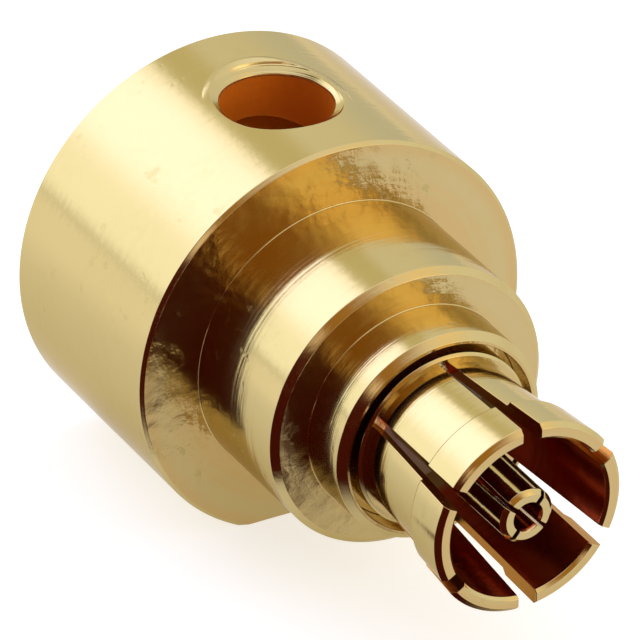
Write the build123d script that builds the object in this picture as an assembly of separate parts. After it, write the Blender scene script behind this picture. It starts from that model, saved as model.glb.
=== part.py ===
from build123d import *
import os
from math import radians, tan

# A right-angle sub-miniature push-on coaxial connector with a slotted socket end.
# It lies on its milled flat: +Z is up through the cable bore, and the socket end points along -Y.
# A station is a distance along the connector's axis from the body's rear face, in millimetres.

# Body, turned from bar
BODY_DIAMETER = 4.80
BODY_LENGTH = 2.81
BODY_EDGE_BREAK = 0.04
COLLAR_DIAMETER = 3.38
COLLAR_LENGTH = 1.62
COLLAR_CHAMFER = 0.075
NOSE_DIAMETER = 2.52
NOSE_LENGTH = 0.68
NOSE_CHAMFER = 0.085
REST_FLAT_HEIGHT = 2.14

# Cable entry, drilled square to the axis and countersunk
CABLE_BORE_DIAMETER = 1.27
CABLE_STATION = 1.43
MOUTH_DIAMETER = 1.63
MOUTH_ANGLE = 90.0
LEAD_DIAMETER = 1.46
LEAD_ANGLE = 118.0

# Bores along the body's axis, from the rear
CAP_SEAT_DIAMETER = 3.80
CAP_SEAT_DEPTH = 0.50
CHAMBER_DIAMETER = 3.50
CHAMBER_MARGIN = 0.215
BEAD_BORE_DIAMETER = 1.90
SLEEVE_SEAT_DIAMETER = 2.28
SLEEVE_SEAT_DEPTH = 0.98

# Rear cap, pressed in after the cable is soldered
CAP_THICKNESS = 0.45
CAP_CHAMFER = 0.08

# Outer contact: a sleeve pressed into the nose, sawn into fingers and flared
PRESS_LAND_LENGTH = 0.65
GROOVE_WIDTH = 0.085
NECK_PROUD = 0.05
NECK_CHAMFER = 0.03
FINGER_BORE_DIAMETER = 1.65
FINGER_WALL = 0.125
FINGER_LENGTH = 1.73
FINGER_FLARE = 4.4
FINGER_COUNT = 6
LIP_LENGTH = 0.65
LIP_HEIGHT = 0.065
LIP_RAMP = 0.10
LIP_CHAMFER = 0.055
MOUTH_CHAMFER = 0.035
SLOT_ROOT_WIDTH = 0.11
SLOT_TIP_WIDTH = 0.22
SLEEVE_TURN = 2.0

# Centre contact: a socket whose petals close a little towards the tip
CONTACT_RECESS = 0.04
SOCKET_DIAMETER = 0.66
SOCKET_TIP_DIAMETER = 0.64
SOCKET_BORE_DIAMETER = 0.32
SOCKET_BORE_DEPTH = 1.55
SOCKET_TIP_CHAMFER = 0.05
FUNNEL_DIAMETER = 0.36
FUNNEL_DEPTH = 0.04
PETAL_COUNT = 4
PETAL_SLOT_LENGTH = 1.45
PETAL_SLOT_ROOT_WIDTH = 0.10
PETAL_SLOT_TIP_WIDTH = 0.05
SOCKET_TURN = 52.0
STEM_DIAMETER = 0.57
BARB_HEIGHT = 0.045
BARB_LENGTH = 0.25
BARB_SETBACK = 0.60
TAIL_REACH = 0.50
TAIL_SLOT_WIDTH = 0.31
TAIL_SLOT_REACH = 0.55
TAIL_CHAMFER = 0.06

# Insulating bead between the stem and the body
SPIGOT_LENGTH = 0.45
BEAD_CHAMFER = 0.06

# Stations that follow from the sizes above
collar_front = BODY_LENGTH + COLLAR_LENGTH
nose_front = collar_front + NOSE_LENGTH
chamber_front = CABLE_STATION + CABLE_BORE_DIAMETER / 2 + CHAMBER_MARGIN
sleeve_rear = nose_front - SLEEVE_SEAT_DEPTH
land_front = sleeve_rear + PRESS_LAND_LENGTH
neck_front = nose_front + NECK_PROUD
sleeve_tip = neck_front + FINGER_LENGTH
contact_tip = sleeve_tip - CONTACT_RECESS
spigot_front = sleeve_rear + SPIGOT_LENGTH
socket_rear = spigot_front
contact_rear = CABLE_STATION - TAIL_REACH
CUT_OVERRUN = 0.5

AXIS = Axis((0, CABLE_STATION, REST_FLAT_HEIGHT), (0, -1, 0))
SECTION = Plane(
    origin=(0, CABLE_STATION, REST_FLAT_HEIGHT), x_dir=(0, -1, 0), z_dir=(-1, 0, 0)
)


def turned(*outline):
    """Solid of revolution from (station, radius) corners given in order round its half section."""
    with BuildPart() as piece:
        with BuildSketch(SECTION):
            with BuildLine():
                Polyline(*outline, close=True)
            make_face()
        revolve(axis=AXIS)
    return piece.part


def cylinder_between(start, end, radius):
    """Round bar on the connector's axis between two stations."""
    return turned((start, 0), (start, radius), (end, radius), (end, 0))


def axis_wedge(start, end, start_width, end_width, reach, turn):
    """Saw cut from the axis outwards on one side, whose width changes between two stations.

    The turn is counted from straight up, and its sense carries the top towards -X.
    """
    with BuildPart() as cut:
        with BuildSketch(Plane(SECTION.origin, x_dir=(0, -1, 0), z_dir=(0, 0, 1))):
            with BuildLine():
                Polyline(
                    (start, start_width / 2),
                    (end, end_width / 2),
                    (end, -end_width / 2),
                    (start, -start_width / 2),
                    close=True,
                )
            make_face()
        extrude(amount=reach)
    return cut.part.rotate(AXIS, turn)


def body():
    """Stepped housing with its flat, cable bore, solder chamber, bead bore and sleeve seat."""
    body_r = BODY_DIAMETER / 2
    collar_r = COLLAR_DIAMETER / 2
    nose_r = NOSE_DIAMETER / 2
    outside = turned(
        (0, 0),
        (0, body_r - BODY_EDGE_BREAK),
        (BODY_EDGE_BREAK, body_r),
        (BODY_LENGTH - BODY_EDGE_BREAK, body_r),
        (BODY_LENGTH, body_r - BODY_EDGE_BREAK),
        (BODY_LENGTH, collar_r),
        (collar_front - COLLAR_CHAMFER, collar_r),
        (collar_front, collar_r - COLLAR_CHAMFER),
        (collar_front, nose_r),
        (nose_front - NOSE_CHAMFER, nose_r),
        (nose_front, nose_r - NOSE_CHAMFER),
        (nose_front, 0),
    )
    bores = [
        cylinder_between(-CUT_OVERRUN, CAP_SEAT_DEPTH, CAP_SEAT_DIAMETER / 2),
        cylinder_between(0, chamber_front, CHAMBER_DIAMETER / 2),
        cylinder_between(0, nose_front, BEAD_BORE_DIAMETER / 2),
        cylinder_between(sleeve_rear, nose_front + CUT_OVERRUN, SLEEVE_SEAT_DIAMETER / 2),
    ]
    flat_cut = Box(
        BODY_DIAMETER,
        BODY_LENGTH + 2 * CUT_OVERRUN,
        BODY_DIAMETER,
        align=(Align.CENTER, Align.MAX, Align.MAX),
    ).moved(Location((0, CABLE_STATION + CUT_OVERRUN, 0)))
    return outside - bores - flat_cut - cable_entry()


def cable_entry():
    """The cable bore with the two countersinks at its mouth, as one cutting tool."""
    bore_r = CABLE_BORE_DIAMETER / 2
    lead_r = LEAD_DIAMETER / 2
    mouth_r = MOUTH_DIAMETER / 2
    mouth_slope = tan(radians(MOUTH_ANGLE / 2))
    body_top = REST_FLAT_HEIGHT + BODY_DIAMETER / 2
    lead_top = body_top - (mouth_r - lead_r) / mouth_slope
    bore_top = lead_top - (lead_r - bore_r) / tan(radians(LEAD_ANGLE / 2))
    with BuildPart() as cutter:
        with BuildSketch(Plane.XZ):
            with BuildLine():
                Polyline(
                    (0, REST_FLAT_HEIGHT),
                    (bore_r, REST_FLAT_HEIGHT),
                    (bore_r, bore_top),
                    (lead_r, lead_top),
                    (mouth_r + CUT_OVERRUN * mouth_slope, body_top + CUT_OVERRUN),
                    (0, body_top + CUT_OVERRUN),
                    close=True,
                )
            make_face()
        revolve(axis=Axis.Z)
    return cutter.part


def rear_cap():
    """Plain disc that closes the solder chamber."""
    cap_r = CAP_SEAT_DIAMETER / 2
    cap_rear = CAP_SEAT_DEPTH - CAP_THICKNESS
    return turned(
        (cap_rear, 0),
        (cap_rear, cap_r - CAP_CHAMFER),
        (cap_rear + CAP_CHAMFER, cap_r),
        (CAP_SEAT_DEPTH, cap_r),
        (CAP_SEAT_DEPTH, 0),
    )


def outer_contact():
    """Sleeve with a press land, a neck and six flared fingers that end in a snap lip."""
    land_r = SLEEVE_SEAT_DIAMETER / 2
    neck_r = land_r - GROOVE_WIDTH
    bore_r = FINGER_BORE_DIAMETER / 2
    root_r = bore_r + FINGER_WALL
    slope = tan(radians(FINGER_FLARE))
    lip_rear = sleeve_tip - LIP_LENGTH
    lip_front = sleeve_tip - LIP_CHAMFER
    mouth_rear = sleeve_tip - MOUTH_CHAMFER

    def flared(radius, station):
        return radius + slope * (station - neck_front)

    sleeve = turned(
        (sleeve_rear, bore_r),
        (sleeve_rear, land_r),
        (land_front, land_r),
        (land_front, neck_r),
        (neck_front - NECK_CHAMFER, neck_r),
        (neck_front, neck_r - NECK_CHAMFER),
        (neck_front, root_r),
        (lip_rear, flared(root_r, lip_rear)),
        (lip_rear + LIP_RAMP, flared(root_r, lip_rear + LIP_RAMP) + LIP_HEIGHT),
        (lip_front, flared(root_r, lip_front) + LIP_HEIGHT),
        (sleeve_tip, flared(root_r, lip_front) + LIP_HEIGHT - LIP_CHAMFER),
        (sleeve_tip, flared(bore_r, mouth_rear) + MOUTH_CHAMFER),
        (mouth_rear, flared(bore_r, mouth_rear)),
        (neck_front, bore_r),
    )
    tip_spread = SLOT_TIP_WIDTH - SLOT_ROOT_WIDTH
    cut_end_width = SLOT_TIP_WIDTH + tip_spread * CUT_OVERRUN / FINGER_LENGTH
    for finger in range(FINGER_COUNT):
        sleeve -= axis_wedge(
            neck_front,
            sleeve_tip + CUT_OVERRUN,
            SLOT_ROOT_WIDTH,
            cut_end_width,
            SLEEVE_SEAT_DIAMETER,
            SLEEVE_TURN + finger * 360 / FINGER_COUNT,
        )
    return sleeve


def centre_contact():
    """Turned pin with a four-petal socket in front, a barbed stem and a slotted solder tail."""
    socket_r = SOCKET_DIAMETER / 2
    tip_r = SOCKET_TIP_DIAMETER / 2
    stem_r = STEM_DIAMETER / 2
    bore_r = SOCKET_BORE_DIAMETER / 2
    funnel_r = FUNNEL_DIAMETER / 2
    barb_front = socket_rear - BARB_SETBACK
    barb_rear = barb_front - BARB_LENGTH
    pin = turned(
        (contact_rear, 0),
        (contact_rear, stem_r - TAIL_CHAMFER),
        (contact_rear + TAIL_CHAMFER, stem_r),
        (barb_rear, stem_r),
        (barb_front, stem_r + BARB_HEIGHT),
        (barb_front, stem_r),
        (socket_rear, stem_r),
        (socket_rear, socket_r),
        (contact_tip - SOCKET_TIP_CHAMFER, tip_r),
        (contact_tip, tip_r - SOCKET_TIP_CHAMFER),
        (contact_tip, funnel_r),
        (contact_tip - FUNNEL_DEPTH, bore_r),
        (contact_tip - SOCKET_BORE_DEPTH, bore_r),
        (contact_tip - SOCKET_BORE_DEPTH, 0),
    )
    slot_closing = PETAL_SLOT_ROOT_WIDTH - PETAL_SLOT_TIP_WIDTH
    cut_end_width = PETAL_SLOT_TIP_WIDTH - slot_closing * CONTACT_RECESS / PETAL_SLOT_LENGTH
    for petal in range(PETAL_COUNT):
        pin -= axis_wedge(
            contact_tip - PETAL_SLOT_LENGTH,
            contact_tip + CONTACT_RECESS,
            PETAL_SLOT_ROOT_WIDTH,
            cut_end_width,
            SOCKET_DIAMETER,
            SOCKET_TURN + petal * 360 / PETAL_COUNT,
        )
    for side in (0, 180):
        pin -= axis_wedge(
            contact_rear - CUT_OVERRUN,
            CABLE_STATION + TAIL_SLOT_REACH,
            TAIL_SLOT_WIDTH,
            TAIL_SLOT_WIDTH,
            STEM_DIAMETER,
            side,
        )
    return pin


def insulator():
    """Bead that fills the bore behind the sleeve, with a spigot inside it and a hole for the stem."""
    bead_r = BEAD_BORE_DIAMETER / 2
    spigot_r = FINGER_BORE_DIAMETER / 2
    stem_r = STEM_DIAMETER / 2
    barb_front = socket_rear - BARB_SETBACK
    return turned(
        (chamber_front, stem_r),
        (chamber_front, bead_r - BEAD_CHAMFER),
        (chamber_front + BEAD_CHAMFER, bead_r),
        (sleeve_rear, bead_r),
        (sleeve_rear, spigot_r),
        (spigot_front, spigot_r),
        (spigot_front, stem_r),
        (barb_front, stem_r),
        (barb_front, stem_r + BARB_HEIGHT),
        (barb_front - BARB_LENGTH, stem_r),
    )


def main():
    os.makedirs("parts", exist_ok=True)
    nodes = {
        "body": body(),
        "outer_contact": outer_contact(),
        "centre_contact": centre_contact(),
        "insulator": insulator(),
        "rear_cap": rear_cap(),
    }
    for name, solid in nodes.items():
        export_step(solid, "parts/" + name + ".step")


main()
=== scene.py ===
import math

import bpy
from mathutils import Matrix, Vector


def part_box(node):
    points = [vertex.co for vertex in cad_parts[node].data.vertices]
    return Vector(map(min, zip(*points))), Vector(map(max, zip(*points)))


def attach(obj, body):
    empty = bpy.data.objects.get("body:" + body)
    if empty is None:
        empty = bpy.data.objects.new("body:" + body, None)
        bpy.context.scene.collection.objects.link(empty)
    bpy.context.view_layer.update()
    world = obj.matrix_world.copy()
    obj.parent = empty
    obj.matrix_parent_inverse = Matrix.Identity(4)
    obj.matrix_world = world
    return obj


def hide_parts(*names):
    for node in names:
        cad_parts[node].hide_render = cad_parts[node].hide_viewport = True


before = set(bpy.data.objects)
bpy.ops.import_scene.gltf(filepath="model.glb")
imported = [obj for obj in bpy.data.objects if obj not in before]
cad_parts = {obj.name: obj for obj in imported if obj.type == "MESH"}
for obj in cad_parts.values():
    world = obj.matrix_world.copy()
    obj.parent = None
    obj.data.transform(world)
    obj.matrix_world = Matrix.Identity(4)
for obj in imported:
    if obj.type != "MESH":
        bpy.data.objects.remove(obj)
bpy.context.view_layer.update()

MM = 0.001
BODY = "root"

# Places read from the solids, in millimetres
body_low, body_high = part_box("body")
sleeve_low, sleeve_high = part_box("outer_contact")
contact_low, contact_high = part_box("centre_contact")
bead_low, bead_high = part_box("insulator")
cap_low, cap_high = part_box("rear_cap")
REAR_Y = body_high[1] / MM
BODY_RADIUS = 2.40
AXIS_HEIGHT = body_high[2] / MM - BODY_RADIUS


def station_of(y):
    """Distance along the axis from the body's rear face, in millimetres."""
    return REAR_Y - y / MM


NOSE_FRONT = station_of(body_low[1])
SLEEVE_REAR = station_of(sleeve_high[1])
SLEEVE_TIP = station_of(sleeve_low[1])
SLEEVE_SEAT_RADIUS = 1.14
CONTACT_REAR = station_of(contact_high[1])
CONTACT_TIP = station_of(contact_low[1])
SOCKET_RADIUS = 0.33
CHAMBER_FRONT = station_of(bead_high[1])
SPIGOT_FRONT = station_of(bead_low[1])
BEAD_RADIUS = 0.95
CAP_REAR = station_of(cap_high[1])
CAP_SEAT_DEPTH = station_of(cap_low[1])
CAP_RADIUS = 1.90

# Sizes that the boxes don't give, in millimetres, as in the solids
BODY_LENGTH = 2.81
BODY_EDGE_BREAK = 0.04
COLLAR_RADIUS = 1.69
COLLAR_FRONT = 4.43
COLLAR_CHAMFER = 0.075
NOSE_RADIUS = 1.26
NOSE_CHAMFER = 0.085
CHAMBER_RADIUS = 1.75
HOLE_RADIUS = 0.635
LEAD_RADIUS = 0.73
LEAD_ANGLE = 118.0
MOUTH_RADIUS = 0.815
MOUTH_ANGLE = 90.0
CAP_CHAMFER = 0.08
LAND_LENGTH = 0.65
NECK_RADIUS = 1.055
NECK_PROUD = 0.05
NECK_CHAMFER = 0.03
FINGER_BORE_RADIUS = 0.825
FINGER_WALL = 0.125
FINGER_FLARE = 4.4
FINGER_COUNT = 6
LIP_LENGTH = 0.65
LIP_HEIGHT = 0.065
LIP_RAMP = 0.05
LIP_CHAMFER = 0.055
FINGER_MOUTH_CHAMFER = 0.035
SLOT_ROOT_WIDTH = 0.11
SLOT_TIP_WIDTH = 0.22
SLEEVE_TURN = 2.0
SOCKET_TIP_RADIUS = 0.32
SOCKET_BORE_RADIUS = 0.16
SOCKET_BORE_DEPTH = 1.55
SOCKET_TIP_CHAMFER = 0.05
FUNNEL_RADIUS = 0.18
FUNNEL_DEPTH = 0.04
PETAL_COUNT = 4
PETAL_SLOT_LENGTH = 1.45
PETAL_SLOT_ROOT_WIDTH = 0.10
PETAL_SLOT_TIP_WIDTH = 0.05
SOCKET_TURN = 52.0
STEM_RADIUS = 0.285
BARB_HEIGHT = 0.045
BARB_LENGTH = 0.25
BARB_SETBACK = 0.60
TAIL_SLOT_WIDTH = 0.31
TAIL_SLOT_END = 1.98
TAIL_CHAMFER = 0.06
BEAD_CHAMFER = 0.06

# Deburred edges
EDGE = 0.014
FINE_EDGE = 0.008
ARC_STEPS = 4
LONGEST_ROUND = 0.45

# Hidden roots of the fingers and petals, sunk in the ring that carries them
ROOT_OVERLAP = 0.03
ROOT_INSET = 0.01

# Grid of the turned skins
WINDOW_TURN = 0.42
WINDOW_STEPS = 28
OUTER_WINDOW = 1.0
INNER_WINDOW = 0.72
SIDE_STEPS = 76
FLAT_STEPS = 24
ROUND_STEPS = 160
FINGER_STEPS = 20
PETAL_STEPS = 14
PRONG_STEPS = 16

# Shares of the way from a window's edge to the hole, outside the body and in the chamber
OUTER_SHARES = (0, 0.22, 0.44, 0.64, 0.80, 0.91)
INNER_SHARES = (0.3, 0.65, 1)


# Skins: faces with a true normal at each corner

class Skin:
    """Gathers faces in millimetres, and makes one mesh object of them."""

    def __init__(self):
        self.index = {}
        self.points = []
        self.faces = []
        self.normals = []

    def face(self, *corners):
        """A face from (point, normal) corners; corners that coincide count once."""
        used = []
        normals = []
        for point, normal in corners:
            key = tuple(round(c, 6) for c in point)
            if key not in self.index:
                self.index[key] = len(self.points)
                self.points.append(Vector(point) * MM)
            if self.index[key] not in used:
                used.append(self.index[key])
                normals.append(Vector(normal).normalized())
        if len(used) > 2 and tuple(used) not in self.faces[-1:]:
            self.faces.append(tuple(used))
            self.normals.extend(normals)

    def strip(self, first, second):
        """Quads between two rows of (point, normal) corners."""
        for a, b, c, d in zip(first, first[1:], second[1:], second):
            self.face(a, b, c, d)

    def object(self, name, node, material):
        mesh = bpy.data.meshes.new(name)
        mesh.from_pydata(self.points, [], self.faces)
        mesh.shade_smooth()
        mesh.normals_split_custom_set(self.normals)
        mesh.materials.append(material)
        piece = bpy.data.objects.new(name, mesh)
        bpy.context.scene.collection.objects.link(piece)
        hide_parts(node)
        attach(piece, BODY)
        return piece


def rounded(outline, closed=True):
    """Outline of (station, radius, edge round) corners as (station, radius, normal) points.

    The metal lies to the right of the direction of travel. A straight run keeps one normal.
    """
    corners = [Vector(c[:2]) for c in outline]
    rounds = [c[2] if len(c) > 2 else 0 for c in outline]
    count = len(corners)
    runs = [corners[(i + 1) % count] - corners[i] for i in range(count)]
    sides = [Vector((-r.y, r.x)).normalized() for r in runs]
    points = []
    for i, corner in enumerate(corners):
        before, after = runs[i - 1], runs[i]
        if not closed and i in (0, count - 1):
            side = sides[0] if i == 0 else sides[i - 1]
            points.append((corner.x, corner.y, side))
            continue
        turn = sides[i - 1].angle(sides[i])
        reach = rounds[i] * math.tan(turn / 2)
        reach = min(reach, LONGEST_ROUND * before.length, LONGEST_ROUND * after.length)
        start = corner - before.normalized() * reach
        end = corner + after.normalized() * reach
        for step in range(ARC_STEPS + 1):
            f = step / ARC_STEPS
            place = start * (1 - f) ** 2 + corner * 2 * f * (1 - f) + end * f ** 2
            place = place if reach else corner
            points.append((place.x, place.y, sides[i - 1].slerp(sides[i], f)))
    if closed:
        points.append(points[0])
    return points


def on_axis(station, radius, turn):
    """Row place of a station and radius; the turn counts from straight up towards -X."""
    aside, rise = -radius * math.sin(turn), radius * math.cos(turn)
    return Vector((aside, REAR_Y - station, AXIS_HEIGHT + rise))


def facing(normal, turn):
    """Row direction of an outline's normal at a turn."""
    return Vector((-normal.y * math.sin(turn), -normal.x, normal.y * math.cos(turn)))


def spaced(start, end, steps):
    return [start + (end - start) * i / steps for i in range(steps + 1)]


def turned(skin, outline, turns, closed=True):
    """Revolves an outline into a skin."""
    rows = []
    for station, radius, normal in rounded(outline, closed):
        rows.append([(on_axis(station, radius, t), facing(normal, t)) for t in turns])
    for first, second in zip(rows, rows[1:]):
        skin.strip(first, second)


FULL_TURN = spaced(0, 2 * math.pi, ROUND_STEPS)


# Body: a turned housing with a flat and a countersunk cable hole

SQUARE_ON = 0.99
SAME_RADIUS = 1e-6
FLAT_HALF_TURN = math.acos(AXIS_HEIGHT / BODY_RADIUS)
HOLE_STATION = REAR_Y
BODY_TOP = AXIS_HEIGHT + BODY_RADIUS
MOUTH_SLOPE = math.tan(math.radians(MOUTH_ANGLE / 2))
LEAD_SLOPE = math.tan(math.radians(LEAD_ANGLE / 2))
LEAD_TOP = BODY_TOP - (MOUTH_RADIUS - LEAD_RADIUS) / MOUTH_SLOPE
HOLE_TOP = LEAD_TOP - (LEAD_RADIUS - HOLE_RADIUS) / LEAD_SLOPE
HALVINGS = 40
LEAST_STEP = 0.002
LEAST_MOUTH = 0.004
LONGEST_BEND = 0.4


def body_turns():
    """Turns of the body's grid, even over the hole's window, with a line on each flat edge."""
    turns = spaced(-WINDOW_TURN, WINDOW_TURN, WINDOW_STEPS)
    turns += spaced(WINDOW_TURN, math.pi - FLAT_HALF_TURN, SIDE_STEPS)[1:]
    turns += spaced(math.pi - FLAT_HALF_TURN, math.pi + FLAT_HALF_TURN, FLAT_STEPS)[1:]
    turns += spaced(math.pi + FLAT_HALF_TURN, 2 * math.pi - WINDOW_TURN, SIDE_STEPS)[1:]
    return turns


def body_corner(station, radius, normal, turn):
    """A body corner, held up at the milled flat."""
    below = -math.cos(turn)
    if below > 0 and radius * below > AXIS_HEIGHT:
        place = on_axis(station, AXIS_HEIGHT / below, turn)
        down = Vector((0, 0, -1))
        on_end_face = abs(normal.x) > SQUARE_ON
        return place, facing(normal, turn) if on_end_face else down
    return on_axis(station, radius, turn), facing(normal, turn)


def with_window(points, radius, half):
    """Adds the window's lines to the straight run at a radius that the hole goes through."""
    lines = spaced(HOLE_STATION - half, HOLE_STATION + half, WINDOW_STEPS)
    result = []
    for point, following in zip(points, points[1:]):
        result.append(point)
        level = all(abs(p[1] - radius) < SAME_RADIUS for p in (point, following))
        first, last = sorted((point[0], following[0]))
        crosses = first < lines[0] and last > lines[-1]
        if level and crosses:
            along = lines if following[0] > point[0] else lines[::-1]
            result += [(s, radius, point[2]) for s in along]
    result.append(points[-1])
    return result


def body_skin(skin):
    outline = [
        (0, CAP_RADIUS, EDGE),
        (0, BODY_RADIUS - BODY_EDGE_BREAK, EDGE),
        (BODY_EDGE_BREAK, BODY_RADIUS, EDGE),
        (BODY_LENGTH - BODY_EDGE_BREAK, BODY_RADIUS, EDGE),
        (BODY_LENGTH, BODY_RADIUS - BODY_EDGE_BREAK, EDGE),
        (BODY_LENGTH, COLLAR_RADIUS, EDGE),
        (COLLAR_FRONT - COLLAR_CHAMFER, COLLAR_RADIUS, EDGE),
        (COLLAR_FRONT, COLLAR_RADIUS - COLLAR_CHAMFER, EDGE),
        (COLLAR_FRONT, NOSE_RADIUS, EDGE),
        (NOSE_FRONT - NOSE_CHAMFER, NOSE_RADIUS, EDGE),
        (NOSE_FRONT, NOSE_RADIUS - NOSE_CHAMFER, FINE_EDGE),
        (NOSE_FRONT, SLEEVE_SEAT_RADIUS, FINE_EDGE),
        (SLEEVE_REAR, SLEEVE_SEAT_RADIUS, 0),
        (SLEEVE_REAR, BEAD_RADIUS, 0),
        (CHAMBER_FRONT, BEAD_RADIUS, FINE_EDGE),
        (CHAMBER_FRONT, CHAMBER_RADIUS, FINE_EDGE),
        (CAP_SEAT_DEPTH, CHAMBER_RADIUS, FINE_EDGE),
        (CAP_SEAT_DEPTH, CAP_RADIUS, 0),
    ]
    points = with_window(rounded(outline), BODY_RADIUS, OUTER_WINDOW)
    points = with_window(points, CHAMBER_RADIUS, INNER_WINDOW)
    turns = body_turns()
    rows = [[body_corner(*point, t) for t in turns] for point in points]
    for (first, second), (p, q) in zip(zip(rows, rows[1:]), zip(points, points[1:])):
        middle = (p[0] + q[0]) / 2 - HOLE_STATION
        outer = p[1] == q[1] == BODY_RADIUS and abs(middle) < OUTER_WINDOW
        inner = p[1] == q[1] == CHAMBER_RADIUS and abs(middle) < INNER_WINDOW
        start = WINDOW_STEPS if outer or inner else 0
        skin.strip(first[start:], second[start:])
    hole_skin(skin)


def window_rim(radius, half):
    """Points round a window's edge at a radius, in order, each with its turn and station."""
    turns = spaced(-WINDOW_TURN, WINDOW_TURN, WINDOW_STEPS)
    stations = spaced(HOLE_STATION - half, HOLE_STATION + half, WINDOW_STEPS)
    rim = [(t, stations[0]) for t in turns[:-1]]
    rim += [(turns[-1], s) for s in stations[:-1]]
    rim += [(t, stations[-1]) for t in turns[:0:-1]]
    rim += [(turns[0], s) for s in stations[:0:-1]]
    return [on_axis(s, radius, t) for t, s in rim]


def on_tube(x, y, radius, outward):
    """Corner on a tube round the axis, above a plan position."""
    rise = math.sqrt(radius ** 2 - x ** 2)
    normal = Vector((x, 0, rise)).normalized()
    return Vector((x, y, AXIS_HEIGHT + rise)), normal * outward


def tool_radius(z):
    """Radius that the drill and the two countersinks leave at a height."""
    if z > LEAD_TOP:
        return LEAD_RADIUS + (z - LEAD_TOP) * MOUTH_SLOPE
    return max(HOLE_RADIUS, LEAD_RADIUS + (z - LEAD_TOP) * LEAD_SLOPE)


def mouth_reach(across):
    """Distance from the hole's axis to its mouth on the body, where x is across times it."""
    low, high = HOLE_RADIUS, OUTER_WINDOW
    for _ in range(HALVINGS):
        middle = (low + high) / 2
        z = AXIS_HEIGHT + math.sqrt(BODY_RADIUS ** 2 - (middle * across) ** 2)
        if tool_radius(z) > middle:
            low = middle
        else:
            high = middle
    return low


def bend(before, corner, after, first_normal, second_normal, size):
    """Rounded corner between two runs of a path, with normals that turn from one to the other."""
    back, ahead = before - corner, after - corner
    start = corner + back.normalized() * min(size, LONGEST_BEND * back.length)
    end = corner + ahead.normalized() * min(size, LONGEST_BEND * ahead.length)
    points = []
    for step in range(ARC_STEPS + 1):
        f = step / ARC_STEPS
        place = start * (1 - f) ** 2 + corner * 2 * f * (1 - f) + end * f ** 2
        points.append((place, (first_normal * (1 - f) + second_normal * f).normalized()))
    return points


def spoke(outer, inner):
    """One path from the outside of the body through the hole to the chamber, by rim points."""
    plan = Vector((outer.x, outer.y)).normalized()
    reach = mouth_reach(plan.x)
    mouth, mouth_normal = on_tube(plan.x * reach, plan.y * reach, BODY_RADIUS, 1)

    def at(radius, height):
        return Vector((plan.x * radius, plan.y * radius, height))

    def cone_normal(slope):
        return Vector((-plan.x, -plan.y, slope)).normalized()

    lead_height = min(LEAD_TOP, mouth.z - LEAST_STEP)
    lead = at(tool_radius(lead_height), lead_height)
    hole = at(HOLE_RADIUS, HOLE_TOP)
    inner_plan = Vector((inner.x, inner.y)).normalized()
    x, y = inner_plan.x * HOLE_RADIUS, inner_plan.y * HOLE_RADIUS
    root, root_normal = on_tube(x, y, CHAMBER_RADIUS, -1)
    upper = cone_normal(MOUTH_SLOPE if mouth.z > LEAD_TOP + LEAST_MOUTH else LEAD_SLOPE)
    lower = cone_normal(LEAD_SLOPE)
    wall = cone_normal(0)
    path = []
    for f in OUTER_SHARES:
        place = outer.lerp(mouth, f)
        path.append(on_tube(place.x, place.y, BODY_RADIUS, 1))
    path += bend(path[-1][0], mouth, lead, mouth_normal, upper, EDGE)
    path += bend(mouth, lead, hole, upper, lower, FINE_EDGE)
    path += bend(lead, hole, root, lower, wall, EDGE)
    path += bend(hole, root, inner, wall, root_normal, FINE_EDGE)
    for f in INNER_SHARES:
        place = root.lerp(inner, f)
        path.append(on_tube(place.x, place.y, CHAMBER_RADIUS, -1))
    return path


def hole_skin(skin):
    outer = window_rim(BODY_RADIUS, OUTER_WINDOW)
    inner = window_rim(CHAMBER_RADIUS, INNER_WINDOW)
    spokes = [spoke(a, b) for a, b in zip(outer, inner)]
    for first, second in zip(spokes, spokes[1:] + spokes[:1]):
        skin.strip(second, first)


# Slotted ends: fingers and petals

def finger(skin, outline, start, end, slot_width, columns):
    """One sprung finger: an outline swept between two saw cuts, with its cut edges deburred."""
    points = rounded(outline)[:-1]
    steps = [i / ARC_STEPS * math.pi / 2 for i in range(ARC_STEPS, -1, -1)]

    def edge_column(centre, sense, bevel):
        column = []
        for station, radius, normal in points:
            inset = FINE_EDGE * (1 - math.cos(bevel))
            s, r = station - normal.x * inset, radius - normal.y * inset
            aside = slot_width(s) / 2 + FINE_EDGE * (1 - math.sin(bevel))
            turn = centre + sense * math.asin(aside / r)
            wall = Vector((math.cos(centre), 0, math.sin(centre))) * sense
            direction = facing(normal, turn) * math.cos(bevel) + wall * math.sin(bevel)
            column.append((on_axis(s, r, turn), direction))
        return column

    columns_made = [edge_column(start, 1, b) for b in steps]
    for i in range(1, columns):
        column = []
        for station, radius, normal in points:
            aside = slot_width(station) / 2 + FINE_EDGE
            reach = math.asin(aside / radius)
            turn = start + reach + (end - start - 2 * reach) * i / columns
            column.append((on_axis(station, radius, turn), facing(normal, turn)))
        columns_made.append(column)
    columns_made += [edge_column(end, -1, b) for b in steps[::-1]]
    for first, second in zip(columns_made, columns_made[1:]):
        skin.strip(second + second[:1], first + first[:1])
    skin.face(*columns_made[0])
    skin.face(*columns_made[-1][::-1])


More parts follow.
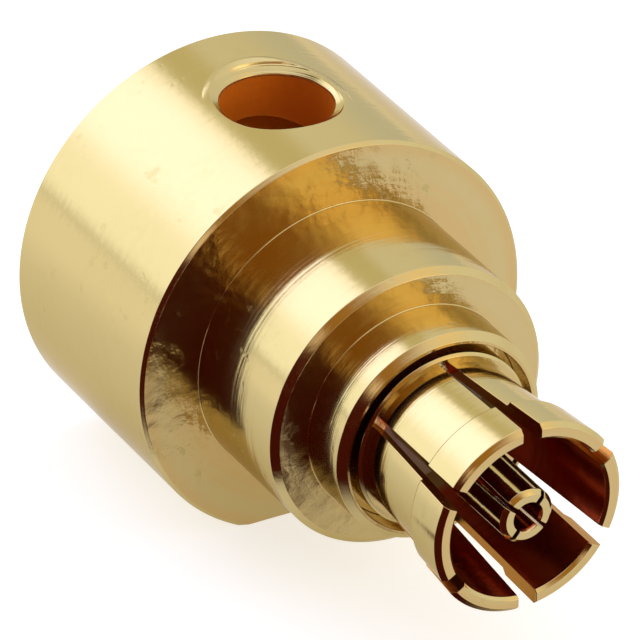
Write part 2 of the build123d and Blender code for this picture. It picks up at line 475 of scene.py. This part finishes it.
def sleeve_skin(skin):
    neck_front = NOSE_FRONT + NECK_PROUD
    land_front = SLEEVE_REAR + LAND_LENGTH
    root_radius = FINGER_BORE_RADIUS + FINGER_WALL
    slope = math.tan(math.radians(FINGER_FLARE))
    lip_rear = SLEEVE_TIP - LIP_LENGTH
    lip_front = SLEEVE_TIP - LIP_CHAMFER
    mouth_rear = SLEEVE_TIP - FINGER_MOUTH_CHAMFER

    def flared(radius, station):
        return radius + slope * (station - neck_front)

    turned(
        skin,
        [
            (SLEEVE_REAR, FINGER_BORE_RADIUS, FINE_EDGE),
            (SLEEVE_REAR, SLEEVE_SEAT_RADIUS, FINE_EDGE),
            (land_front, SLEEVE_SEAT_RADIUS, FINE_EDGE),
            (land_front, NECK_RADIUS, 0),
            (neck_front - NECK_CHAMFER, NECK_RADIUS, FINE_EDGE),
            (neck_front, NECK_RADIUS - NECK_CHAMFER, FINE_EDGE),
            (neck_front, FINGER_BORE_RADIUS, FINE_EDGE),
        ],
        FULL_TURN,
    )
    outline = [
        (neck_front - ROOT_OVERLAP, root_radius - ROOT_INSET, 0),
        (neck_front, root_radius, 0),
        (lip_rear, flared(root_radius, lip_rear), EDGE),
        (lip_rear + LIP_RAMP, flared(root_radius, lip_rear + LIP_RAMP) + LIP_HEIGHT, 2 * EDGE),
        (lip_front, flared(root_radius, lip_front) + LIP_HEIGHT, EDGE),
        (SLEEVE_TIP, flared(root_radius, lip_front) + LIP_HEIGHT - LIP_CHAMFER, EDGE),
        (SLEEVE_TIP, flared(FINGER_BORE_RADIUS, mouth_rear) + FINGER_MOUTH_CHAMFER, EDGE),
        (mouth_rear, flared(FINGER_BORE_RADIUS, mouth_rear), EDGE),
        (neck_front, FINGER_BORE_RADIUS, 0),
        (neck_front - ROOT_OVERLAP, FINGER_BORE_RADIUS + ROOT_INSET, 0),
    ]

    def slot_width(station):
        along = (station - neck_front) / (SLEEVE_TIP - neck_front)
        return SLOT_ROOT_WIDTH + (SLOT_TIP_WIDTH - SLOT_ROOT_WIDTH) * along

    for i in range(FINGER_COUNT):
        start = math.radians(SLEEVE_TURN + i * 360 / FINGER_COUNT)
        end = start + 2 * math.pi / FINGER_COUNT
        finger(skin, outline, start, end, slot_width, FINGER_STEPS)


def contact_skin(skin):
    petal_rear = CONTACT_TIP - PETAL_SLOT_LENGTH
    bore_rear = CONTACT_TIP - SOCKET_BORE_DEPTH
    barb_front = SPIGOT_FRONT - BARB_SETBACK
    tip_rear = CONTACT_TIP - SOCKET_TIP_CHAMFER
    taper = (SOCKET_RADIUS - SOCKET_TIP_RADIUS) / (tip_rear - SPIGOT_FRONT)
    root_radius = SOCKET_RADIUS - taper * (petal_rear - SPIGOT_FRONT)
    turned(
        skin,
        [
            (TAIL_SLOT_END, 0),
            (TAIL_SLOT_END, STEM_RADIUS, 0),
            (barb_front - BARB_LENGTH, STEM_RADIUS, 0),
            (barb_front, STEM_RADIUS + BARB_HEIGHT, FINE_EDGE),
            (barb_front, STEM_RADIUS, 0),
            (SPIGOT_FRONT, STEM_RADIUS, 0),
            (SPIGOT_FRONT, SOCKET_RADIUS, FINE_EDGE),
            (petal_rear, root_radius, 0),
            (petal_rear, SOCKET_BORE_RADIUS, 0),
            (bore_rear, SOCKET_BORE_RADIUS, 0),
            (bore_rear, 0),
        ],
        FULL_TURN,
        closed=False,
    )
    outline = [
        (petal_rear - ROOT_OVERLAP, root_radius - ROOT_INSET, 0),
        (petal_rear, root_radius, 0),
        (tip_rear, SOCKET_TIP_RADIUS, EDGE),
        (CONTACT_TIP, SOCKET_TIP_RADIUS - SOCKET_TIP_CHAMFER, EDGE),
        (CONTACT_TIP, FUNNEL_RADIUS, EDGE),
        (CONTACT_TIP - FUNNEL_DEPTH, SOCKET_BORE_RADIUS, EDGE),
        (petal_rear, SOCKET_BORE_RADIUS, 0),
        (petal_rear - ROOT_OVERLAP, SOCKET_BORE_RADIUS + ROOT_INSET, 0),
    ]

    def slot_width(station):
        along = (station - petal_rear) / PETAL_SLOT_LENGTH
        narrowing = PETAL_SLOT_ROOT_WIDTH - PETAL_SLOT_TIP_WIDTH
        return PETAL_SLOT_ROOT_WIDTH - narrowing * along

    for i in range(PETAL_COUNT):
        start = math.radians(SOCKET_TURN + i * 360 / PETAL_COUNT)
        end = start + 2 * math.pi / PETAL_COUNT
        finger(skin, outline, start, end, slot_width, PETAL_STEPS)
    for side in (1, -1):
        tail_prong(skin, side)


def tail_prong(skin, side):
    """Half of the solder tail, beside its slot."""
    half = math.acos(TAIL_SLOT_WIDTH / 2 / STEM_RADIUS)
    middle = side * math.pi / 2
    turns = spaced(middle - half, middle + half, PRONG_STEPS)
    stations = [
        (CONTACT_REAR, STEM_RADIUS - TAIL_CHAMFER),
        (CONTACT_REAR + TAIL_CHAMFER, STEM_RADIUS),
        (TAIL_SLOT_END + ROOT_OVERLAP, STEM_RADIUS),
    ]
    rows = []
    for station, radius in stations:
        row = []
        for turn in turns:
            place = on_axis(station, radius, turn)
            place.x = -side * max(TAIL_SLOT_WIDTH / 2, abs(place.x))
            row.append((place, facing(Vector((0, 1)), turn)))
        rows.append(row)
    for first, second in zip(rows, rows[1:]):
        skin.strip(first, second)
    inward = Vector((side, 0, 0))
    for first, second in zip(rows, rows[1:]):
        ends = [first[-1], first[0], second[0], second[-1]]
        skin.face(*[(place, inward) for place, _ in ends])
    skin.face(*[(place, Vector((0, 1, 0))) for place, _ in rows[0][::-1]])


def bead_skin(skin):
    barb_front = SPIGOT_FRONT - BARB_SETBACK
    turned(
        skin,
        [
            (CHAMBER_FRONT, STEM_RADIUS, 0),
            (CHAMBER_FRONT, BEAD_RADIUS - BEAD_CHAMFER, FINE_EDGE),
            (CHAMBER_FRONT + BEAD_CHAMFER, BEAD_RADIUS, FINE_EDGE),
            (SLEEVE_REAR, BEAD_RADIUS, 0),
            (SLEEVE_REAR, FINGER_BORE_RADIUS, 0),
            (SPIGOT_FRONT, FINGER_BORE_RADIUS, FINE_EDGE),
            (SPIGOT_FRONT, STEM_RADIUS, FINE_EDGE),
            (barb_front, STEM_RADIUS, 0),
            (barb_front, STEM_RADIUS + BARB_HEIGHT, 0),
            (barb_front - BARB_LENGTH, STEM_RADIUS, 0),
        ],
        FULL_TURN,
    )


def cap_skin(skin):
    turned(
        skin,
        [
            (CAP_REAR, 0),
            (CAP_REAR, CAP_RADIUS - CAP_CHAMFER, EDGE),
            (CAP_REAR + CAP_CHAMFER, CAP_RADIUS, EDGE),
            (CAP_SEAT_DEPTH, CAP_RADIUS, 0),
            (CAP_SEAT_DEPTH, 0),
        ],
        FULL_TURN,
        closed=False,
    )


# Shader expressions

class Wire:
    """A node's output that takes part in plain arithmetic."""

    def __init__(self, graph, socket):
        self.graph = graph
        self.socket = socket

    def _math(self, operation, *values):
        return self.graph.node("ShaderNodeMath", {"operation": operation}, *values)

    def __add__(self, other):
        return self._math("ADD", self, other)

    def __radd__(self, other):
        return self._math("ADD", other, self)

    def __sub__(self, other):
        return self._math("SUBTRACT", self, other)

    def __rsub__(self, other):
        return self._math("SUBTRACT", other, self)

    def __mul__(self, other):
        return self._math("MULTIPLY", self, other)

    def __rmul__(self, other):
        return self._math("MULTIPLY", other, self)

    def __truediv__(self, other):
        return self._math("DIVIDE", self, other)

    def __rtruediv__(self, other):
        return self._math("DIVIDE", other, self)

    def __abs__(self):
        return self._math("ABSOLUTE", self)


class Graph:
    """Nodes of one material or world."""

    def __init__(self, tree):
        self.tree = tree
        tree.nodes.clear()

    def node(self, kind, settings=None, *values, out=0, **named):
        """Adds a node: its settings first, then the values or links of its sockets."""
        made = self.tree.nodes.new(kind)
        for key, value in (settings or {}).items():
            setattr(made, key, value)
        for i, value in enumerate(values):
            self.feed(made.inputs[i], value)
        for key, value in named.items():
            self.feed(made.inputs[key.replace("_", " ")], value)
        return Wire(self, made.outputs[out]) if len(made.outputs) else made

    def feed(self, socket, value):
        if isinstance(value, Wire):
            self.tree.links.new(value.socket, socket)
        elif value is not None:
            socket.default_value = value

    def mix(self, factor, first, second):
        """Colour that goes from the first to the second."""
        made = self.tree.nodes.new("ShaderNodeMix")
        made.data_type = "RGBA"
        self.feed(made.inputs[0], factor)
        self.feed(made.inputs[6], first)
        self.feed(made.inputs[7], second)
        return Wire(self, made.outputs[2])

    def smooth(self, value, low, high, start=0.0, end=1.0):
        """Value carried smoothly from start to end as it goes from low to high."""
        settings = {"interpolation_type": "SMOOTHSTEP"}
        return self.node("ShaderNodeMapRange", settings, value, low, high, start, end)

    def larger(self, first, second):
        return self.node("ShaderNodeMath", {"operation": "MAXIMUM"}, first, second)

    def scaled(self, vector, shares):
        """Vector with each of its parts times its own share."""
        return self.node("ShaderNodeVectorMath", {"operation": "MULTIPLY"}, vector, shares)

    def length(self, vector):
        return self.node("ShaderNodeVectorMath", {"operation": "LENGTH"}, vector, out="Value")

    def dot(self, vector, axis):
        settings = {"operation": "DOT_PRODUCT"}
        return self.node("ShaderNodeVectorMath", settings, vector, tuple(axis), out="Value")

    def noise(self, place, scale, detail):
        return self.node("ShaderNodeTexNoise", None, place, Scale=scale, Detail=detail)

    def line_noise(self, value, scale, detail):
        """Noise along a single value, such as a distance from the axis."""
        settings = {"noise_dimensions": "1D"}
        return self.node("ShaderNodeTexNoise", settings, None, value, Scale=scale, Detail=detail)


def new_graph(name):
    material = bpy.data.materials.new(name)
    material.use_nodes = True
    return material, Graph(material.node_tree)


# Gold plating over turned metal

GOLD = (0.590, 0.475, 0.212, 1)
# Painted reflection: rose and olive tones on the faces square to the axis, for what these faces
# mirror
FACE_ROSE_REFLECTION = (0.590, 0.420, 0.172, 1)
FACE_OLIVE_REFLECTION = (0.580, 0.450, 0.200, 1)
DULL_GOLD = (0.52, 0.42, 0.16, 1)
EDGE_TINT = (0.80, 0.72, 0.55, 1)
# Painted shade: the deep red and orange that light takes bouncing in the cable hole, the chamber,
# the bores and the slots
HOLE_PAINTED_SHADE = (0.80, 0.24, 0.015, 1)
CHAMBER_PAINTED_SHADE = (0.96, 0.50, 0.05, 1)
BORE_PAINTED_SHADE = (0.56, 0.085, 0.03, 1)
SLOT_PAINTED_SHADE = (0.46, 0.21, 0.045, 1)

# Where the painted shade of the inside comes in, in millimetres from a wall or an end
WALL_FADE = (0.02, 0.005)
BORE_FADE = (0.015, 0.005)
FINGER_FADE = (0, 0.015)
SAW_FADE = (0.004, 0.002)
HOLE_TOP_FADE = (0.01, -0.03)
NECK_FADE = (0, 0.01)
SLEEVE_TIP_FADE = (-0.03, -0.05)
SLOT_TIP_FADE = (-0.01, -0.02)

# The same, in millimetres along the axis or out from it
CHAMBER_REAR_FADE = (0.3, 0.4)
CHAMBER_FRONT_FADE = (2.6, 2.5)
OUTSIDE_SOCKET = (0.5, 0.6)

# Share of the finger's wall that takes the painted shade of its inside
INNER_WALL = 0.2

# Noise over the plating: scale and detail, by the metre over a place and by the millimetre
# over a distance
PATCHES = (900.0, 3.0)
WAVES = (1900.0, 2.0)
SPOTS = (5200.0, 2.0)
PEEL = (7000.0, 3.0)
GRAIN = (9000.0, 4.0)
MARKS = (9.0, 4.0)
RINGS = (13.0, 4.0)
BANDS = (3.1, 1.0)
TOOL = (14.0, 3.0)
MEAN_NOISE = 0.5

# Levels of noise between which something comes in
DULL_SPOTS = (0.62, 0.74)
DULL_PATCHES = (0.44, 0.62)
MOTTLE_PATCHES = (0.40, 0.62)
MOTTLE_GRAIN = (0.35, 0.65)
PEEL_PATCHES = (0.42, 0.62)
OLIVE_BANDS = (0.40, 0.60)

# Part of the normal along the axis from which a surface counts as a face
FACE_NORMAL = (0.75, 0.95)

# Heights, in turning marks, and the height of one mark in metres
DULL_DEPTH = 0.5
WAVE_DEPTH = 8
PEEL_DEPTH = 6
TOOL_DEPTH = 30
MARK_HEIGHT = 0.00001

# How much the faces square to the axis differ, and what the specks and the mottling do
FACE_SHARE = 0.5
FACE_ROUGHNESS = 0.04
DULL_TINT = 0.3
MOTTLE_TINT = 0.12
DULL_ROUGHNESS = 0.12
PATCH_ROUGHNESS = 0.06
GRAIN_ROUGHNESS = 0.04

# Rough side of the countersink: its azimuth, and where the roughness comes in, in millimetres
# towards that side, from the mouth's rim and from the foot
TOOL_AZIMUTH = 32
TOOL_SIDE = (-0.1, 0.5)
TOOL_REACH = (0.01, -0.02)
TOOL_RISE = (-0.02, 0.02)


def round_hole(graph, place):
    """Distance from the cable hole's axis and height, in millimetres."""
    reach = graph.length(graph.scaled(place, (1 / MM, 1 / MM, 0)))
    return reach, graph.node("ShaderNodeSeparateXYZ", None, place, out="Z") / MM


def from_edge(graph, value, edge, fade):
    """Mask that comes in over a fade on either side of an edge."""
    return graph.smooth(value, edge + fade[0], edge + fade[1])


def inside_housing(graph, place, station, radius):
    """Masks of the cable hole's wall and of the solder chamber, where painted shade goes."""
    reach, height = round_hole(graph, place)
    hole = from_edge(graph, reach, HOLE_RADIUS, WALL_FADE)
    hole = hole * from_edge(graph, height, HOLE_TOP, HOLE_TOP_FADE)
    chamber = from_edge(graph, radius, CHAMBER_RADIUS, WALL_FADE)
    chamber = chamber * graph.smooth(station, *CHAMBER_REAR_FADE)
    chamber = chamber * graph.smooth(station, *CHAMBER_FRONT_FADE)
    return hole, chamber


def slot_walls(graph, place, half_width, turn, count):
    """Mask of the sawn walls of slots that go right across, in planes through the axis."""
    mask = 0.0
    for i in range(count):
        t = math.radians(turn + 180 / count * i)
        across = graph.dot(place, (math.cos(t), 0, math.sin(t))) / MM
        across = abs(across - AXIS_HEIGHT * math.sin(t))
        mask = mask + graph.smooth(across - half_width, *SAW_FADE)
    return mask


def inside_contacts(graph, place, station, radius):
    """Masks of the inside of the fingers and petals, and of the slots between the fingers, where
    painted shade goes.
    """
    slope = math.tan(math.radians(FINGER_FLARE))
    inner_radius = FINGER_BORE_RADIUS + INNER_WALL * FINGER_WALL
    depth = (station - NOSE_FRONT) * slope + inner_radius - radius
    sleeve = graph.smooth(depth, *FINGER_FADE) * graph.smooth(radius, *OUTSIDE_SOCKET)
    sleeve = sleeve * from_edge(graph, station, SLEEVE_TIP, SLEEVE_TIP_FADE)
    petals = from_edge(graph, radius, SOCKET_BORE_RADIUS, BORE_FADE)
    neck_front = NOSE_FRONT + NECK_PROUD
    widening = (SLOT_TIP_WIDTH - SLOT_ROOT_WIDTH) / 2 / (SLEEVE_TIP - neck_front)
    half_width = (station - neck_front) * widening + SLOT_ROOT_WIDTH / 2
    slots = slot_walls(graph, place, half_width, SLEEVE_TURN, FINGER_COUNT // 2)
    slots = slots * graph.smooth(radius, *OUTSIDE_SOCKET)
    slots = slots * from_edge(graph, station, neck_front, NECK_FADE)
    slots = slots * from_edge(graph, station, SLEEVE_TIP, SLOT_TIP_FADE)
    return graph.larger(sleeve, petals), slots


def gold(name, inside, first_painted_shade, second_painted_shade, inner_metal, inner_rough, roughness, mark_depth):
    """Plated gold: turning marks, painted reflection tones on the faces, mottling and specks, and
    a deeper painted shade inside.
    """
    material, graph = new_graph(name)
    place = graph.node("ShaderNodeTexCoord", out="Object")
    along = graph.node("ShaderNodeSeparateXYZ", None, place, out="Y") / MM
    station = REAR_Y - along
    centred = graph.node(
        "ShaderNodeVectorMath",
        {"operation": "SUBTRACT"},
        graph.scaled(place, (1 / MM, 0, 1 / MM)),
        (0, 0, AXIS_HEIGHT),
    )
    radius = graph.length(centred)
    normal = graph.node("ShaderNodeNewGeometry", out="Normal")
    face = graph.smooth(abs(graph.dot(normal, (0, 1, 0))), *FACE_NORMAL)

    patches = graph.noise(place, *PATCHES)
    waves = graph.noise(place, *WAVES)
    spots = graph.noise(place, *SPOTS)
    peel = graph.noise(place, *PEEL)
    grain = graph.noise(place, *GRAIN)
    marks = graph.line_noise(along, *MARKS)
    rings = graph.line_noise(radius, *RINGS)
    bands = graph.line_noise(radius, *BANDS)
    dull = graph.smooth(spots, *DULL_SPOTS) * graph.smooth(patches, *DULL_PATCHES)
    mottle = graph.smooth(patches, *MOTTLE_PATCHES) * graph.smooth(grain, *MOTTLE_GRAIN)

    # Tool marks on the far side of the cable hole's countersink
    reach, above = round_hole(graph, place)
    tool = graph.line_noise(reach, *TOOL)
    sunk = from_edge(graph, reach, MOUTH_RADIUS, TOOL_REACH)
    sunk = sunk * from_edge(graph, above, HOLE_TOP, TOOL_RISE)
    sunk = sunk * graph.smooth(graph.dot(place, heading(TOOL_AZIMUTH, 0)) / MM, *TOOL_SIDE)

    height = marks + rings * (1 - face * FACE_SHARE) + grain * (FACE_SHARE + face * FACE_SHARE)
    height = height - dull * DULL_DEPTH + waves * face * WAVE_DEPTH
    height = height + peel * face * graph.smooth(patches, *PEEL_PATCHES) * PEEL_DEPTH
    height = height + tool * sunk * TOOL_DEPTH
    bump = graph.node(
        "ShaderNodeBump", None, Strength=mark_depth, Distance=MARK_HEIGHT, Height=height
    )

    # Painted reflection: faces square to the axis take rose and olive tones, in rings at random
    face_reflection = graph.mix(graph.smooth(bands, *OLIVE_BANDS), FACE_ROSE_REFLECTION, FACE_OLIVE_REFLECTION)
    colour = graph.mix(face, GOLD, face_reflection)
    worn = dull * (DULL_TINT + face * DULL_TINT) + mottle * MOTTLE_TINT
    colour = graph.mix(worn, colour, DULL_GOLD)
    # Painted shade in the hollows, where the roughness and the metal also change
    first_shade_mask, second_shade_mask = inside(graph, place, station, radius)
    colour = graph.mix(first_shade_mask, colour, first_painted_shade)
    colour = graph.mix(second_shade_mask, colour, second_painted_shade)

    mask = graph.larger(first_shade_mask, second_shade_mask)
    rough = roughness + (patches - MEAN_NOISE) * PATCH_ROUGHNESS + dull * DULL_ROUGHNESS
    rough = rough + (grain - MEAN_NOISE) * GRAIN_ROUGHNESS + face * FACE_ROUGHNESS
    rough = rough + mask * (inner_rough - roughness)
    shader = graph.node(
        "ShaderNodeBsdfPrincipled",
        None,
        Base_Color=colour,
        Metallic=1 - mask * (1 - inner_metal),
        Roughness=rough,
        Specular_Tint=EDGE_TINT,
        Normal=bump,
    )
    graph.node("ShaderNodeOutputMaterial", None, shader)
    return material


# Insulator

POLYMER_SHADE = (0.86, 0.86, 0.84, 1)
POLYMER_WHITE = (0.94, 0.94, 0.92, 1)
POLYMER_CLOUDS = (1200.0, 3.0)
POLYMER_MARKS = 0.3
POLYMER_ROUGHNESS = 0.42
CLOUD_ROUGHNESS = 0.1


def dielectric():
    """Turned white fluoropolymer."""
    material, graph = new_graph("white_dielectric")
    place = graph.node("ShaderNodeTexCoord", out="Object")
    cloud = graph.noise(place, *POLYMER_CLOUDS)
    bump = graph.node(
        "ShaderNodeBump", None, Strength=POLYMER_MARKS, Distance=MARK_HEIGHT, Height=cloud
    )
    colour = graph.mix(cloud, POLYMER_SHADE, POLYMER_WHITE)
    shader = graph.node(
        "ShaderNodeBsdfPrincipled",
        None,
        Base_Color=colour,
        Roughness=POLYMER_ROUGHNESS + cloud * CLOUD_ROUGHNESS,
        Normal=bump,
    )
    graph.node("ShaderNodeOutputMaterial", None, shader)
    return material


# Studio

FLOOR_SIZE = 0.4
FLOOR_PLAIN = (0.78, 0.77, 0.75, 1)
# Painted bounce light: the lit part is cool and the glow warm, so the open table stays white and
# its shadow turns warm
FLOOR_BRIGHT = (0.46, 0.50, 0.60, 1)
FLOOR_GLOW = (1, 0.95, 0.86)
FLOOR_LIFT = 0.60
CAMERA_LIFT = 0.16
LIGHT_BOUNCES = 16

# Painted pool of light on the table: its azimuth, the millimetres over which it comes in, and its
# light
POOL_AZIMUTH = -38
POOL_REACH = (4, 14)
POOL_LIGHT = 0.22

# Card beside the object, seen only in reflections, which paints a dark reflection, in
# millimetres: its corners go round clockwise, from the near one
CARD_COLOUR = (0.08, 0.010, 0.005, 1)
CARD_HEIGHT = 0.02
CARD_CORNERS = [
    (-2.4, -2.9),
    (0.9, -4.4),
    (0.2, -8),
    (0.2, -190),
    (-190, -190),
    (-190, -40),
    (-2.6, -1.4),
]
CARD_FADE = 0.5
CARD_NEAR_FADE = 1.6
CARD_RIGHT_FADE = 0.8


def flat_sheet(name, corners, height, material):
    """Flat piece of the studio from its corners in the plan, in metres."""
    mesh = bpy.data.meshes.new(name)
    mesh.from_pydata([(x, y, height) for x, y in corners], [], [tuple(range(len(corners)))])
    mesh.materials.append(material)
    sheet = bpy.data.objects.new(name, mesh)
    bpy.context.scene.collection.objects.link(sheet)
    return sheet


def sight(graph):
    """Camera rays, and the glossy and transmission rays that show the background in metal."""
    light_path = graph.tree.nodes.new("ShaderNodeLightPath")
    names = ("Is Camera Ray", "Is Glossy Ray", "Is Transmission Ray")
    camera_ray, glossy_ray, transmission_ray = [Wire(graph, light_path.outputs[n]) for n in names]
    return camera_ray, glossy_ray + transmission_ray


def floor():
    """Pale table, white to the camera and in the metal, with the object's shadow on it, made warm
    by painted bounce light, and a painted pool of light.
    """
    material, graph = new_graph("floor")
    camera_ray, mirrored_ray = sight(graph)
    table = graph.node("ShaderNodeBsdfDiffuse", None, FLOOR_PLAIN)
    bright = graph.node("ShaderNodeBsdfDiffuse", None, FLOOR_BRIGHT)
    place = graph.node("ShaderNodeTexCoord", out="Object")
    away = graph.dot(place, heading(POOL_AZIMUTH, 0)) / MM
    # Painted pool of light: the table glows more towards the back left
    pool = graph.smooth(away, *POOL_REACH, 0.0, POOL_LIGHT)
    lift = FLOOR_LIFT + pool + camera_ray * CAMERA_LIFT
    # Warm glow over a cool lit part: painted warm bounce light in the object's shadow
    own_light = graph.node(
        "ShaderNodeVectorMath", {"operation": "SCALE"}, FLOOR_GLOW, Scale=lift
    )
    light = graph.node("ShaderNodeEmission", None, own_light, 1.0)
    white = graph.node("ShaderNodeAddShader", None, bright, light)
    shader = graph.node("ShaderNodeMixShader", None, camera_ray + mirrored_ray, table, white)
    graph.node("ShaderNodeOutputMaterial", None, shader)
    half = FLOOR_SIZE / 2
    corners = [(-half, -half), (half, -half), (half, half), (-half, half)]
    flat_sheet("floor", corners, 0, material)


def reflected_dark_card():
    """Brown-black card laid at the front left, seen only in reflections: a painted dark
    reflection that gives the metal its dark side.
    """
    material, graph = new_graph("reflected_dark_card")
    place = graph.node("ShaderNodeTexCoord", out="Object")

    def depth(start, end):
        """Distance inside the card from the line through two corners, taken clockwise."""
        run = Vector((end[0] - start[0], end[1] - start[1], 0)).normalized()
        side = Vector((run.y, -run.x, 0))
        return graph.dot(place, side) / MM - (start[0] * side.x + start[1] * side.y)

    near, right, front = CARD_CORNERS[:3]
    far, left = CARD_CORNERS[-2:]
    beside = graph.smooth(depth(left, near), 0, CARD_FADE)
    ahead = graph.smooth(depth(near, right), 0, CARD_NEAR_FADE)
    fade = graph.larger(beside, ahead) * graph.smooth(depth(far, left), 0, CARD_FADE)
    fade = fade * graph.smooth(depth(right, front), 0, CARD_RIGHT_FADE)
    dark = graph.node("ShaderNodeBsdfDiffuse", None, CARD_COLOUR)
    clear = graph.node("ShaderNodeBsdfTransparent")
    shader = graph.node("ShaderNodeMixShader", None, fade, clear, dark)
    graph.node("ShaderNodeOutputMaterial", None, shader)
    corners = [(x * MM, y * MM) for x, y in CARD_CORNERS]
    card = flat_sheet("reflected_dark_card", corners, CARD_HEIGHT * MM, material)
    card.visible_camera = False
    card.visible_diffuse = False
    card.visible_shadow = False


def heading(azimuth, elevation):
    """Direction from an azimuth, counted from +Y towards +X, and an elevation, in degrees."""
    a, e = math.radians(azimuth), math.radians(elevation)
    return Vector((math.sin(a) * math.cos(e), math.cos(a) * math.cos(e), math.sin(e)))


def panel(graph, direction, azimuth, elevation, half_width, half_height, soft, roll=0.0):
    """Mask of a rectangular light panel far away, in degrees, with a soft edge."""
    ahead = heading(azimuth, elevation)
    right = ahead.cross(Vector((0, 0, 1))).normalized()
    right = Matrix.Rotation(math.radians(roll), 3, ahead) @ right
    top = right.cross(ahead)
    forward = graph.dot(direction, ahead)
    across = abs(graph.dot(direction, right) / forward)
    upward = abs(graph.dot(direction, top) / forward)
    wide, tall = math.tan(math.radians(half_width)), math.tan(math.radians(half_height))
    edge = math.tan(math.radians(soft))
    in_width = graph.smooth(across, wide - edge, wide + edge, 1.0, 0.0)
    in_height = graph.smooth(upward, tall - edge, tall + edge, 1.0, 0.0)
    return in_width * in_height * graph.smooth(forward, *IN_FRONT)


def glow(graph, direction, azimuth, elevation, reach, soft):
    """Mask of a round area of light, in degrees, with a soft edge."""
    near, far = math.radians(reach - soft), math.radians(reach + soft)
    facing_it = graph.dot(direction, heading(azimuth, elevation))
    return graph.smooth(facing_it, math.cos(far), math.cos(near))


WHITE = (1, 1, 1, 1)
ROOM_COLOUR = (0.085, 0.012, 0.006, 1)

# Share of a direction that points at a panel, below which the panel is behind it
IN_FRONT = (0.02, 0.05)

# White backdrop behind the object: azimuth, elevation, reach, softness
BACKDROP = (20, 0, 78, 10)

# Round areas of light: azimuth, elevation, reach, softness, colour
GLOWS = [
    (-172, 40, 24, 14, (0.50, 0.24, 0.05)),
    (100, 30, 42, 20, (1.10, 1.08, 1.06)),
    (150, 30, 22, 8, (1.30, 1.02, 0.66)),
    (147, 27, 12, 8, (2.10, 1.85, 1.45)),
    (-134, 32, 7, 4, (1.20, 0.95, 0.80)),
    (180, 14, 16, 8, (0.55, 0.46, 0.30)),
    (0, 90, 36, 10, (1.25, 1.25, 1.40)),
    (5, -5, 74, 16, (0.80, 0.80, 0.80)),
]

# Panels: azimuth, elevation, half width, half height, softness, roll, colour
PANELS = [
    (49, 5, 13, 15, 8, 0, (0.88, 0.94, 1.15)),
    (-26, 25, 24, 22, 3, 0, (1.62, 1.68, 1.90)),
    (-21, 36, 15, 13, 7, 0, (2.10, 2.12, 3.00)),
    (12, 42, 6, 9, 3, -20, (0.85, 0.80, 0.58)),
]


def studio():
    """Softboxes and dark room round a white backdrop, all white straight into the camera."""
    world = bpy.data.worlds.new("studio")
    bpy.context.scene.world = world
    world.use_nodes = True
    graph = Graph(world.node_tree)
    camera_ray, mirrored_ray = sight(graph)
    direction = graph.node("ShaderNodeTexCoord", out="Generated")
    colour = ROOM_COLOUR
    for azimuth, elevation, reach, soft, light in GLOWS:
        mask = glow(graph, direction, azimuth, elevation, reach, soft)
        colour = graph.mix(mask, colour, light + (1,))
    colour = graph.mix(mirrored_ray * glow(graph, direction, *BACKDROP), colour, WHITE)
    for azimuth, elevation, half_width, half_height, soft, roll, light in PANELS:
        mask = panel(graph, direction, azimuth, elevation, half_width, half_height, soft, roll)
        colour = graph.mix(mask, colour, light + (1,))
    colour = graph.mix(camera_ray, colour, WHITE)
    background = graph.node("ShaderNodeBackground", None, colour, 1.0)
    graph.node("ShaderNodeOutputWorld", None, background)


# Camera, as fitted to the turned circles in the photo: place, lens and sensor in millimetres
CAMERA_PLACE = (-32.77, -54.00, 39.81)
CAMERA_AHEAD = (0.4507, 0.7276, -0.5170)
CAMERA_TOP = (0.2332, 0.4632, 0.8550)
CAMERA_LENS = 373.3
CAMERA_SENSOR = 36.0
CAMERA_CLIP = (0.005, 5.0)


def camera():
    place = Vector(CAMERA_PLACE) * MM
    ahead = Vector(CAMERA_AHEAD).normalized()
    right = ahead.cross(Vector(CAMERA_TOP)).normalized()
    top = right.cross(ahead)
    data = bpy.data.cameras.new("camera")
    data.lens = CAMERA_LENS
    data.sensor_width = CAMERA_SENSOR
    data.clip_start, data.clip_end = CAMERA_CLIP
    piece = bpy.data.objects.new("camera", data)
    turn = Matrix((right, top, -ahead)).transposed().to_4x4()
    piece.matrix_world = Matrix.Translation(place) @ turn
    bpy.context.scene.collection.objects.link(piece)
    bpy.context.scene.camera = piece


def main():
    brass = gold(
        "gold_plated_brass",
        inside_housing,
        first_painted_shade=HOLE_PAINTED_SHADE,
        second_painted_shade=CHAMBER_PAINTED_SHADE,
        inner_metal=0.35,
        inner_rough=0.45,
        roughness=0.15,
        mark_depth=0.25,
    )
    spring = gold(
        "gold_plated_spring",
        inside_contacts,
        first_painted_shade=BORE_PAINTED_SHADE,
        second_painted_shade=SLOT_PAINTED_SHADE,
        inner_metal=1.0,
        inner_rough=0.22,
        roughness=0.12,
        mark_depth=0.2,
    )
    white = dielectric()
    builds = [
        ("body", body_skin, "gold_plated_brass", brass),
        ("outer_contact", sleeve_skin, "gold_plated_spring", spring),
        ("centre_contact", contact_skin, "gold_plated_spring", spring),
        ("insulator", bead_skin, "white_dielectric", white),
        ("rear_cap", cap_skin, "gold_plated_brass", brass),
    ]
    for node, build, slot, material in builds:
        skin = Skin()
        build(skin)
        skin.object(node + "_skin", node, material)
    floor()
    reflected_dark_card()
    studio()
    camera()
    scene = bpy.context.scene
    scene.view_settings.view_transform = "Standard"
    scene.cycles.max_bounces = LIGHT_BOUNCES
    scene.cycles.glossy_bounces = LIGHT_BOUNCES


main()
